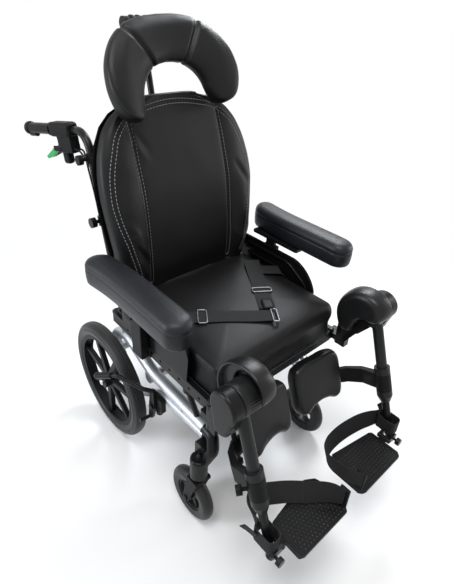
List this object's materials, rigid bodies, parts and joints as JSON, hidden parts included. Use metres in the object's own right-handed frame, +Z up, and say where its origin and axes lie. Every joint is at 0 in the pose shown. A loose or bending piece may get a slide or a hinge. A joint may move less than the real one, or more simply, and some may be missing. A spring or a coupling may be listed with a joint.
{
  "type": "tilt in space wheelchair",
  "caption": "Tilt in space wheelchair with reclining back, winged headrest, swing-away elevating leg rests, calf pads, footplates, arm pads and push handles.",
  "frame": {"origin": "centre of the bounding box at floor level", "axes": "+Z up, the chair faces -Y, +X is to the user's left"},
  "size_m": [0.682, 1.1354, 1.2898],
  "materials": {
    "silver_frame": "satin silver paint",
    "black_frame": "black powder coat",
    "steel": "bright steel",
    "black_plastic": "matt black plastic",
    "gloss_panel": "gloss black plastic",
    "green_plastic": "green plastic",
    "tyre": "black solid tyre",
    "vinyl": "satin black upholstery vinyl",
    "webbing": "black woven webbing",
    "cable": "black cable sleeve"
  },
  "bodies": {
    "chassis": {"side_frame_left": "silver_frame", "side_frame_right": "silver_frame", "cross_tubes": "silver_frame", "castor_housings": "black_frame", "axle_pins": "steel", "seat_rests": "black_frame", "brake_mounts": "black_frame"},
    "seat": {"seat_frame": "black_frame", "seat_pan": "black_plastic", "seat_cushion": "vinyl", "side_panels": "gloss_panel", "arm_sockets": "black_plastic", "lap_belt": "webbing", "belt_buckles": "steel", "recline_cylinder": "black_frame"},
    "tilt_cylinder": {"tilt_cylinder": "black_frame"},
    "tilt_rod": {"tilt_rod": "steel"},
    "recline_rod": {"recline_rod": "steel"},
    "back": {"back_frame": "black_frame", "back_shell": "black_plastic", "back_cushion": "vinyl"},
    "headrest_post": {"headrest_post": "black_frame"},
    "headrest": {"headrest_plate": "black_plastic", "headrest_pad": "vinyl"},
    "rear_wheel_left": {"rear_wheel_left": "black_plastic", "rear_tyre_left": "tyre"},
    "castor_fork_left": {"castor_fork_left": "black_plastic"},
    "castor_wheel_left": {"castor_wheel_left": "tyre"},
    "brake_lever_left": {"brake_lever_left": "black_frame"},
    "rear_wheel_right": {"rear_wheel_right": "black_plastic", "rear_tyre_right": "tyre"},
    "castor_fork_right": {"castor_fork_right": "black_plastic"},
    "castor_wheel_right": {"castor_wheel_right": "tyre"},
    "brake_lever_right": {"brake_lever_right": "black_frame"},
    "push_handle_left": {"push_handle_left": "black_frame", "lever_housing_left": "black_plastic"},
    "tilt_lever_left": {"tilt_lever_left": "black_plastic"},
    "push_handle_right": {"push_handle_right": "black_frame", "lever_housing_right": "black_plastic", "control_cables": "cable"},
    "tilt_lever_right": {"tilt_lever_right": "green_plastic"},
    "recline_lever_right": {"recline_lever_right": "black_plastic"},
    "arm_left": {"arm_post_left": "black_frame", "arm_pad_left": "vinyl"},
    "leg_hanger_left": {"leg_hanger_left": "black_frame", "knee_pad_left": "vinyl"},
    "leg_tube_left": {"leg_tube_left": "black_frame"},
    "lower_leg_left": {"lower_tube_left": "black_frame"},
    "calf_left": {"calf_support_left": "vinyl"},
    "foot_left": {"footplate_left": "black_plastic", "heel_strap_left": "webbing"},
    "arm_right": {"arm_post_right": "black_frame", "arm_pad_right": "vinyl"},
    "leg_hanger_right": {"leg_hanger_right": "black_frame", "knee_pad_right": "vinyl"},
    "leg_tube_right": {"leg_tube_right": "black_frame"},
    "lower_leg_right": {"lower_tube_right": "black_frame"},
    "calf_right": {"calf_support_right": "vinyl"},
    "foot_right": {"footplate_right": "black_plastic", "heel_strap_right": "webbing"}
  },
  "joints": [
    {"name": "rear_wheel_spin_left", "type": "hinge", "parent": "chassis", "child": "rear_wheel_left", "pos_m": [0.257, 0.23827, 0.203], "axis": [1, 0, 0], "continuous": true},
    {"name": "castor_swivel_left", "type": "hinge", "parent": "chassis", "child": "castor_fork_left", "pos_m": [0.245, -0.22773, 0.188], "axis": [0, 0, 1], "continuous": true},
    {"name": "castor_spin_left", "type": "hinge", "parent": "castor_fork_left", "child": "castor_wheel_left", "pos_m": [0.245, -0.20273, 0.084], "axis": [1, 0, 0], "continuous": true},
    {"name": "brake_lever_turn_left", "type": "hinge", "parent": "chassis", "child": "brake_lever_left", "pos_m": [0.2353, 0.00227, 0.262], "axis": [1, 0, 0], "range_deg": [0, 23.5]},
    {"name": "rear_wheel_spin_right", "type": "hinge", "parent": "chassis", "child": "rear_wheel_right", "pos_m": [-0.257, 0.23827, 0.203], "axis": [1, 0, 0], "continuous": true},
    {"name": "castor_swivel_right", "type": "hinge", "parent": "chassis", "child": "castor_fork_right", "pos_m": [-0.245, -0.22773, 0.188], "axis": [0, 0, 1], "continuous": true},
    {"name": "castor_spin_right", "type": "hinge", "parent": "castor_fork_right", "child": "castor_wheel_right", "pos_m": [-0.245, -0.20273, 0.084], "axis": [1, 0, 0], "continuous": true},
    {"name": "brake_lever_turn_right", "type": "hinge", "parent": "chassis", "child": "brake_lever_right", "pos_m": [-0.2353, 0.00227, 0.262], "axis": [1, 0, 0], "range_deg": [0, 23.5]},
    {"name": "seat_tilt", "type": "hinge", "parent": "chassis", "child": "seat", "pos_m": [0, 0.18727, 0.455], "axis": [-1, 0, 0], "range_deg": [0, 25]},
    {"name": "tilt_cylinder_swing", "type": "hinge", "parent": "chassis", "child": "tilt_cylinder", "pos_m": [0.06, 0.07227, 0.327], "axis": [-1, 0, 0], "range_deg": [0, 20.02]},
    {"name": "tilt_rod_slide", "type": "slide", "parent": "tilt_cylinder", "child": "tilt_rod", "axis": [0, -0.7071, 0.7071], "range_m": [0, 0.07316]},
    {"name": "back_recline", "type": "hinge", "parent": "seat", "child": "back", "pos_m": [0, 0.17927, 0.49], "axis": [-1, 0, 0], "range_deg": [0, 30]},
    {"name": "recline_rod_slide", "type": "slide", "parent": "seat", "child": "recline_rod", "axis": [0, -1, 0], "range_m": [0, 0.03211]},
    {"name": "headrest_height", "type": "slide", "parent": "back", "child": "headrest_post", "axis": [0, 0.2334, 0.9724], "range_m": [0, 0.06]},
    {"name": "headrest_tilt", "type": "hinge", "parent": "headrest_post", "child": "headrest", "pos_m": [-0.034, 0.3018, 1.25405], "axis": [-1, 0, 0], "range_deg": [0, 25]},
    {"name": "push_handle_slide_left", "type": "slide", "parent": "back", "child": "push_handle_left", "axis": [0, 0.2334, 0.9724], "range_m": [0, 0.09]},
    {"name": "tilt_lever_left_squeeze", "type": "hinge", "parent": "push_handle_left", "child": "tilt_lever_left", "pos_m": [0.23383, 0.44093, 0.93191], "axis": [0.9613, -0.2756, 0], "range_deg": [0, 16], "stiffness_Nm_per_rad": 0.4, "springref_deg": -11.46},
    {"name": "push_handle_slide_right", "type": "slide", "parent": "back", "child": "push_handle_right", "axis": [0, 0.2334, 0.9724], "range_m": [0, 0.09], "deforming": ["control_cables"]},
    {"name": "tilt_lever_right_squeeze", "type": "hinge", "parent": "push_handle_right", "child": "tilt_lever_right", "pos_m": [-0.23383, 0.44093, 0.93191], "axis": [0.9613, 0.2756, 0], "range_deg": [0, 16], "stiffness_Nm_per_rad": 0.4, "springref_deg": -11.46},
    {"name": "recline_lever_right_squeeze", "type": "hinge", "parent": "push_handle_right", "child": "recline_lever_right", "pos_m": [-0.23383, 0.44093, 0.93191], "axis": [0.9613, 0.2756, 0], "range_deg": [0, 16], "stiffness_Nm_per_rad": 0.4, "springref_deg": -11.46},
    {"name": "arm_height_left", "type": "slide", "parent": "seat", "child": "arm_left", "axis": [0, 0, 1], "range_m": [0, 0.09]},
    {"name": "leg_swing_left", "type": "hinge", "parent": "seat", "child": "leg_hanger_left", "pos_m": [0.252, -0.27673, 0.49], "axis": [0, 0, 1], "range_deg": [0, 90]},
    {"name": "leg_elevate_left", "type": "hinge", "parent": "leg_hanger_left", "child": "leg_tube_left", "pos_m": [0.255, -0.36473, 0.612], "axis": [-1, 0, 0], "range_deg": [0, 70]},
    {"name": "leg_length_left", "type": "slide", "parent": "leg_tube_left", "child": "lower_leg_left", "axis": [0, -0.3486, -0.9373], "range_m": [-0.06, 0.08]},
    {"name": "calf_swing_left", "type": "hinge", "parent": "leg_tube_left", "child": "calf_left", "pos_m": [0.255, -0.44142, 0.4058], "axis": [0, 0.3486, 0.9373], "range_deg": [0, 90]},
    {"name": "foot_flip_left", "type": "hinge", "parent": "lower_leg_left", "child": "foot_left", "pos_m": [0.229, -0.50419, 0.237], "axis": [0, 1, 0], "range_deg": [0, 90], "deforming": ["heel_strap_left"]},
    {"name": "arm_height_right", "type": "slide", "parent": "seat", "child": "arm_right", "axis": [0, 0, 1], "range_m": [0, 0.09]},
    {"name": "leg_swing_right", "type": "hinge", "parent": "seat", "child": "leg_hanger_right", "pos_m": [-0.252, -0.27673, 0.49], "axis": [0, 0, -1], "range_deg": [0, 90]},
    {"name": "leg_elevate_right", "type": "hinge", "parent": "leg_hanger_right", "child": "leg_tube_right", "pos_m": [-0.255, -0.36473, 0.612], "axis": [-1, 0, 0], "range_deg": [0, 70]},
    {"name": "leg_length_right", "type": "slide", "parent": "leg_tube_right", "child": "lower_leg_right", "axis": [0, -0.3486, -0.9373], "range_m": [-0.06, 0.08]},
    {"name": "calf_swing_right", "type": "hinge", "parent": "leg_tube_right", "child": "calf_right", "pos_m": [-0.255, -0.44142, 0.4058], "axis": [0, -0.3486, -0.9373], "range_deg": [0, 90]},
    {"name": "foot_flip_right", "type": "hinge", "parent": "lower_leg_right", "child": "foot_right", "pos_m": [-0.229, -0.50419, 0.237], "axis": [0, -1, 0], "range_deg": [0, 90], "deforming": ["heel_strap_right"]}
  ],
  "couplings": [
    {"joint": "tilt_cylinder_swing", "follows": "seat_tilt", "ratio": 0.79262},
    {"joint": "tilt_rod_slide", "follows": "seat_tilt", "m_per_rad": 0.16653},
    {"joint": "recline_rod_slide", "follows": "back_recline", "m_per_rad": 0.060366}
  ]
}
